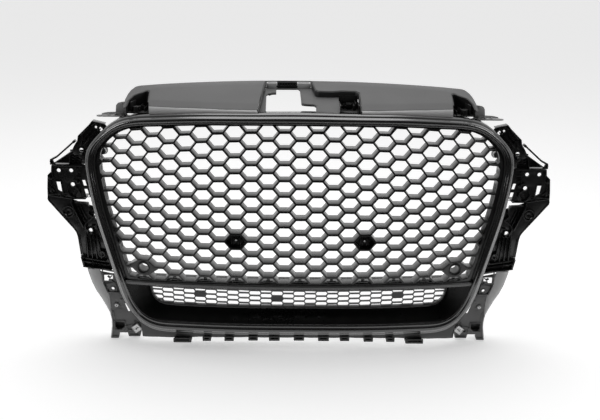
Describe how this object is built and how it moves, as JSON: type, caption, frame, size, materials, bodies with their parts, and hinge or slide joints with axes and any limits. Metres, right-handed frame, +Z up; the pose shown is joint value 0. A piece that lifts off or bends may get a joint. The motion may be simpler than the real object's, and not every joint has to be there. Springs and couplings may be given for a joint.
{
  "type": "front grille",
  "caption": "Bowed front grille: gloss surround ring, honeycomb insert, meshed lower intake, top cover panel with lock cut-out, and side and corner brackets.",
  "frame": {"origin": "middle of the bounding box in plan, at the feet of the corner brackets", "axes": "+X across the car, +Y to the rear, so the grille faces -Y; +Z up"},
  "size_m": [1.052, 0.1957, 0.548],
  "materials": {
    "gloss_black_plastic": "piano black gloss paint",
    "satin_black_plastic": "satin black moulded",
    "dark_plastic": "fine-grained dark moulded plastic",
    "grey_plastic": "mid-grey grained plastic",
    "zinc_steel": "zinc plated spring steel"
  },
  "bodies": {
    "root": {"surround_ring": "gloss_black_plastic", "carrier_frame": "satin_black_plastic", "honeycomb_insert": "satin_black_plastic", "insert_shelf": "satin_black_plastic", "cross_bar": "gloss_black_plastic", "intake_floor": "gloss_black_plastic", "intake_back_panel": "satin_black_plastic", "intake_side_left": "gloss_black_plastic", "intake_side_right": "gloss_black_plastic", "lower_mesh": "satin_black_plastic", "bottom_skirt": "grey_plastic", "bottom_clip_1": "satin_black_plastic", "bottom_clip_2": "satin_black_plastic", "bottom_clip_3": "satin_black_plastic", "bottom_clip_4": "satin_black_plastic", "bottom_clip_5": "satin_black_plastic", "bottom_clip_6": "satin_black_plastic", "bottom_clip_7": "satin_black_plastic", "bottom_clip_8": "satin_black_plastic", "bottom_clip_9": "satin_black_plastic", "bottom_clip_10": "satin_black_plastic", "bottom_clip_11": "satin_black_plastic", "top_cover": "grey_plastic", "cover_lip_left": "grey_plastic", "cover_lip_right": "grey_plastic", "lock_recess_frame": "grey_plastic", "lock_recess_floor": "grey_plastic", "latch_bridge": "satin_black_plastic", "catch_pocket": "satin_black_plastic", "cover_pocket_left": "satin_black_plastic", "cover_pocket_right": "satin_black_plastic", "end_tab_left": "grey_plastic", "end_tab_right": "grey_plastic", "flange_plate_left": "grey_plastic", "flange_plate_right": "grey_plastic", "upper_arm_left": "dark_plastic", "upper_arm_right": "dark_plastic", "wing_strut_left": "dark_plastic", "wing_strut_right": "dark_plastic", "box_bracket_left": "dark_plastic", "box_bracket_right": "dark_plastic", "wing_blade_left": "dark_plastic", "wing_blade_right": "dark_plastic", "wing_panel_left": "dark_plastic", "wing_panel_right": "dark_plastic", "corner_bracket_left": "grey_plastic", "corner_bracket_right": "grey_plastic", "sensor_socket_left": "satin_black_plastic", "sensor_socket_right": "satin_black_plastic", "spring_nut_left": "zinc_steel", "spring_nut_right": "zinc_steel", "plate_plug_left": "satin_black_plastic", "plate_plug_right": "satin_black_plastic", "peg_left": "grey_plastic", "peg_right": "grey_plastic", "panel_screw_left": "zinc_steel", "panel_screw_right": "zinc_steel", "corner_screw_left": "zinc_steel", "corner_screw_right": "zinc_steel"}
  },
  "joints": []
}
